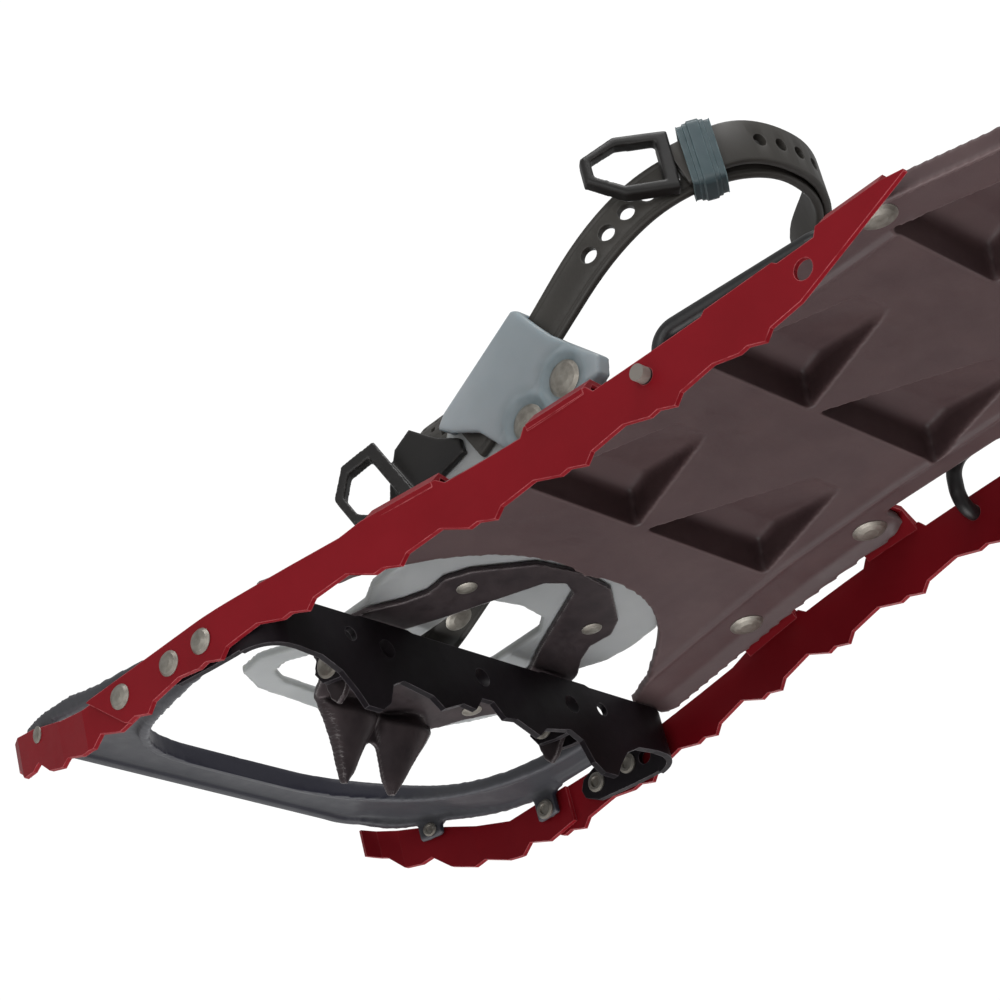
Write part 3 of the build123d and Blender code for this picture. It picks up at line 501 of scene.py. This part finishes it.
# ---------------------------------------------------------------- straps
def rounded_path(points, rounds=4):
    """Corner-cutting: a smooth curve that touches the middle of every run and keeps both ends."""
    line = [Vector(p) for p in points]
    for _ in range(rounds):
        cut = [line[0]]
        for a, b in zip(line, line[1:]):
            cut += [a.lerp(b, 0.25), a.lerp(b, 0.75)]
        line = cut + [line[-1]]
    return line


class Route:
    """A curve measured by its length, with a width direction across it."""

    def __init__(self, points, across):
        self.points = np.array([tuple(p) for p in points])
        steps = np.linalg.norm(np.diff(self.points, axis=0), axis=1)
        self.marks = np.concatenate([[0], np.cumsum(steps)])
        self.length = self.marks[-1]
        tangents = np.gradient(self.points, self.marks, axis=0)
        self.tangents = tangents / np.linalg.norm(tangents, axis=1)[:, None]
        self.across = np.array(across, float)

    def frame_at(self, distance):
        place_at = np.stack([np.interp(distance, self.marks, self.points[:, k]) for k in range(3)], 1)
        tangent = np.stack([np.interp(distance, self.marks, self.tangents[:, k]) for k in range(3)], 1)
        tangent /= np.linalg.norm(tangent, axis=1)[:, None]
        width = self.across - (tangent @ self.across)[:, None] * tangent
        width /= np.linalg.norm(width, axis=1)[:, None]
        return place_at, tangent, width, np.cross(tangent, width)


def strap_section(width, thickness):
    """Cross-section of a strap: rounded edges, and a shallow groove near each on the outer face."""
    half, deep, corner = width / 2, thickness / 2, min(thickness, width) * 0.36
    section = []
    for cx, cz, start in ((half - corner, deep - corner, 0), (-half + corner, deep - corner, 90),
                          (-half + corner, -deep + corner, 180), (half - corner, -deep + corner, 270)):
        for step in range(4):
            angle = math.radians(start + step * 30)
            section.append((cx + corner * math.cos(angle), cz + corner * math.sin(angle)))
        if start == 0:
            for share, sink in ((0.80, 0), (0.74, 0.22), (0.66, 0.22), (0.60, 0), (0, 0), (-0.60, 0),
                                (-0.66, 0.22), (-0.74, 0.22), (-0.80, 0)):
                section.append((share * half, deep - sink))
    return section


def flat_strap(name, length, width, thickness, step=2.0):
    """A straight strap along +X from the origin, in millimetres, as a closed mesh."""
    section = strap_section(width, thickness)
    rings = max(2, int(length / step))
    mesh = bpy.data.meshes.new(name)
    work = bmesh.new()
    loops = []
    for i in range(rings + 1):
        x = length * i / rings
        loops.append([work.verts.new((x, y, z)) for y, z in section])
    for first, second in zip(loops, loops[1:]):
        for k in range(len(section)):
            following = (k + 1) % len(section)
            work.faces.new((first[k], first[following], second[following], second[k]))
    work.faces.new(loops[0][::-1])
    work.faces.new(loops[-1])
    bmesh.ops.recalc_face_normals(work, faces=work.faces)
    work.to_mesh(mesh)
    work.free()
    return linked(name, mesh)


def punch(obj, holes, sides=28):
    """Cuts holes through a flat strap: each is (x, y, radius)."""
    work = bmesh.new()
    for x, y, radius in holes:
        made = bmesh.ops.create_cone(work, cap_ends=True, segments=sides, radius1=radius,
                                     radius2=radius, depth=20)
        turn = math.pi / 4 if sides == 4 else 0.0
        for vertex in made["verts"]:
            c, s = math.cos(turn), math.sin(turn)
            vx, vy = vertex.co.x, vertex.co.y
            vertex.co.x, vertex.co.y = x + c * vx - s * vy, y + s * vx + c * vy
    mesh = bpy.data.meshes.new("punch")
    work.to_mesh(mesh)
    work.free()
    cutter = linked("punch", mesh)
    cut = obj.modifiers.new("holes", "BOOLEAN")
    cut.operation = "DIFFERENCE"
    cut.solver = "EXACT"
    cut.object = cutter
    lips = obj.modifiers.new("lips", "BEVEL")
    lips.width = 0.22
    lips.segments = 2
    lips.limit_method = "ANGLE"
    lips.angle_limit = math.radians(60)
    evaluated(obj)
    bpy.data.objects.remove(cutter)
    return obj


def tip_rounded(obj, length, width):
    """Rounds the strap's far end in plan."""
    p = coordinates(obj)
    from_end = np.clip(length - p[:, 0], 0, width / 2)
    shrink = np.sqrt(np.clip(1 - (1 - from_end / (width / 2)) ** 2, 0.02, 1))
    p[:, 1] *= shrink
    set_coordinates(obj, p)


def laid_along(obj, route):
    """Bends a flat strap, in millimetres, along a route in metres."""
    p = coordinates(obj)
    centre, _, width, normal = route.frame_at(np.clip(p[:, 0] * MM, 0, route.length))
    set_coordinates(obj, centre + width * p[:, 1:2] * MM + normal * p[:, 2:3] * MM)
    shade(obj, 50)
    return obj


def strap_height(station):
    """Height of the heel straps' middle line, as a smooth rise from the sleeves to the heel."""
    line = rounded_path([(y, z, 0) for y, z in STRAP_LINE], 3)
    return float(np.interp(station, [p.x for p in line], [p.y for p in line]))


def heel_route(plan):
    """Plan points (x, station) in millimetres, rounded and lifted to the straps' height."""
    line = rounded_path([(x, y, 0) for x, y in plan])
    return Route([at(p.x, p.y, strap_height(p.y)) for p in line], (0, 0, 1))


left_route = heel_route([(STRAP_X, 87.5), (STRAP_X, 150), (18, 190), (-18, 190), (-30, 167.5)])
left_length = left_route.length / MM
left = flat_strap("strap_left", left_length, STRAP_W, STRAP_T)
punch(left, [(64.5 + 8.1 * hole, 0, 2.6) for hole in range(9)])
tip_rounded(left, left_length, STRAP_W)
place(laid_along(left, left_route), "binding", strap_rubber, "strap_rubber", "left_strap")

right_route = heel_route([(-STRAP_X, 87.5), (-STRAP_X, 152), (-20, 193.6), (20, 193.6), (33.4, 174.4)])
right_length = right_route.length / MM
right = flat_strap("strap_right", right_length, STRAP_W, STRAP_T)
punch(right, [(right_length - 26 - 8.1 * hole, 0, 2.2) for hole in range(5)])
place(laid_along(right, right_route), "binding", strap_rubber, "strap_rubber", "right_strap")

ARCH_HALF = ((40.4, 15), (40.4, 47), (24, 60.5))              # x and height of the instep strap, left half
arch = [*ARCH_HALF, *((-x, z) for x, z in ARCH_HALF[::-1])]
instep_arch = rounded_path([at(x, 69, z) for x, z in arch])
instep_route = Route(instep_arch, (0, 1, 0))
instep_length = instep_route.length / MM
instep = flat_strap("strap_instep", instep_length, STRAP_W, STRAP_T)
perforations = [(15 + 4.6 * column, row, 1.35) for column in range(7) for row in (-5.0, 0.0, 5.0)]
punch(instep, perforations, sides=4)
place(laid_along(instep, instep_route), "binding", strap_rubber, "strap_rubber", "instep_strap")

centre_line = rounded_path([at(0, y, z) for y, z in ((14, 9.0), (22.5, 10.6), (38, 18.0), (53, 25.4))])
centre_route = Route(centre_line, (1, 0, 0))
centre_length = centre_route.length / MM
centre = flat_strap("strap_centre", centre_length, 17.0, 2.7, step=1.0)
tip_rounded(centre, centre_length, 17.0)
place(laid_along(centre, centre_route), "binding", strap_rubber, "strap_rubber", "centre_strap")

for node, name in (("heel_buckle", "buckle_heel"), ("forefoot_buckle", "buckle_forefoot")):
    place(softened(node, name, 0.0005, 5), "binding", buckle_nylon, "buckle_plastic", node)


# ---------------------------------------------------------------- keeper
def keeper_band():
    """A moulded band with a raised rib in the middle of its width, round both heel straps."""
    diagonal = (at(18, 190, 0) - at(STRAP_X, 150, 0)).normalized()
    outward = Vector((diagonal.y, -diagonal.x, 0))
    middle = at(27.2, 179.3, 78.3)
    half_profile = [(-5.0, 0.3), (-4.7, 0.0), (-3.3, 0.0), (-3.0, 0.5), (-2.0, 0.5), (-1.6, 1.0)]
    profile = half_profile + [(-along, rise) for along, rise in half_profile[::-1]]
    half_x, half_z, corner = 5.4, (STRAP_W + 7.0) / 2, 2.0
    work = bmesh.new()
    rings = []
    reach_x, reach_z = half_x - corner, half_z - corner
    for cx, cz, start in ((reach_x, reach_z, 0), (-reach_x, reach_z, 90), (-reach_x, -reach_z, 180),
                          (reach_x, -reach_z, 270)):
        for step in range(7):
            angle = math.radians(start + step * 15)
            ux, uz = math.cos(angle), math.sin(angle)
            ring = []
            for along, rise in profile:
                x, z = cx + (corner + rise - 0.4) * ux, cz + (corner + rise - 0.4) * uz
                ring.append(middle + (outward * x + Vector((0, 0, 1)) * z + diagonal * along) * MM)
            for along in (5.0, -5.0):
                x, z = cx + (corner - 1.4) * ux, cz + (corner - 1.4) * uz
                ring.append(middle + (outward * x + Vector((0, 0, 1)) * z + diagonal * along) * MM)
            rings.append([work.verts.new(p) for p in ring])
    count = len(rings[0])
    for i, ring in enumerate(rings):
        following = rings[(i + 1) % len(rings)]
        for k in range(count):
            work.faces.new((ring[k], ring[(k + 1) % count], following[(k + 1) % count], following[k]))
    bmesh.ops.recalc_face_normals(work, faces=work.faces)
    mesh = bpy.data.meshes.new("keeper_band")
    work.to_mesh(mesh)
    work.free()
    obj = linked("keeper_band", mesh)
    shade(obj, 30)
    return place(obj, "keeper", keeper_rubber, "keeper_rubber", "heel_keeper")


keeper_band()

# ---------------------------------------------------------------- floor, light and camera
FLOOR_SIZE = 6.0


def studio_floor():
    """A pale floor under the lowest claws, seen from above only, so that light reaches the underside."""
    mesh = bpy.data.meshes.new("floor")
    half, level = FLOOR_SIZE / 2, cad_low.z - 0.0004
    corners = [(x, y, level) for x, y in ((-half, -half), (half, -half), (half, half), (-half, half))]
    mesh.from_pydata(corners, [], [(0, 1, 2, 3)])
    obj = linked("floor", mesh)
    material = bpy.data.materials.new("floor_paper")
    material.use_nodes = True
    tree = material.node_tree
    shader = tree.nodes["Principled BSDF"]
    shader.inputs["Base Color"].default_value = (0.86, 0.86, 0.85, 1)
    shader.inputs["Roughness"].default_value = 0.9
    clear = tree.nodes.new("ShaderNodeBsdfTransparent")
    geometry = tree.nodes.new("ShaderNodeNewGeometry")
    path = tree.nodes.new("ShaderNodeLightPath")
    either = tree.nodes.new("ShaderNodeMath")
    either.operation = "MAXIMUM"
    tree.links.new(geometry.outputs["Backfacing"], either.inputs[0])
    tree.links.new(path.outputs["Is Shadow Ray"], either.inputs[1])
    blend = tree.nodes.new("ShaderNodeMixShader")
    tree.links.new(either.outputs[0], blend.inputs[0])
    tree.links.new(shader.outputs["BSDF"], blend.inputs[1])
    tree.links.new(clear.outputs["BSDF"], blend.inputs[2])
    tree.links.new(blend.outputs["Shader"], tree.nodes["Material Output"].inputs["Surface"])
    obj.data.materials.append(material)


def soft_light(name, location, target, size, power):
    data = bpy.data.lights.new(name, "AREA")
    data.size = size
    data.energy = power
    obj = bpy.data.objects.new(name, data)
    scene.collection.objects.link(obj)
    obj.location = location
    obj.rotation_euler = (Vector(target) - Vector(location)).to_track_quat("-Z", "Y").to_euler()
    obj.visible_camera = False


def pale_world():
    """White where the camera sees it, and less than half as bright as light."""
    world = bpy.data.worlds.new("studio")
    scene.world = world
    world.use_nodes = True
    tree = world.node_tree
    background = tree.nodes["Background"]
    background.inputs["Color"].default_value = (1, 1, 1, 1)
    path = tree.nodes.new("ShaderNodeLightPath")
    lit = ranged(tree, path.outputs["Is Glossy Ray"], 0, 1, 0.42, 0.40)
    seen = tree.nodes.new("ShaderNodeMath")
    seen.operation = "MAXIMUM"
    tree.links.new(lit, seen.inputs[0])
    tree.links.new(ranged(tree, path.outputs["Is Camera Ray"], 0, 1, 0.0, 1.05), seen.inputs[1])
    tree.links.new(seen.outputs[0], background.inputs["Strength"])


studio_floor()
pale_world()
# name, location, target, size and power
soft_light("key", (0.2, 0.9, 1.8), (0, 0, 0.03), 1.2, 22)
soft_light("side", (1.5, 0.4, -0.1), (0, 0, 0.03), 1.0, 7)
soft_light("under", (-0.1, -0.35, -1.15), (0, -0.02, 0.03), 0.7, 10)
soft_light("rim", (-1.3, -1.0, 0.4), (0, -0.1, 0.03), 0.8, 3)

camera = bpy.data.objects.new("camera", bpy.data.cameras.new("camera"))
scene.collection.objects.link(camera)
camera.location = (0.69542, 0.37792, -0.4324)
camera.rotation_euler = [math.radians(a) for a in (121.2343, 12.8283, 133.8964)]
camera.data.lens = 117.384
camera.data.clip_start = 0.01
scene.camera = camera
scene.view_settings.view_transform = "Standard"
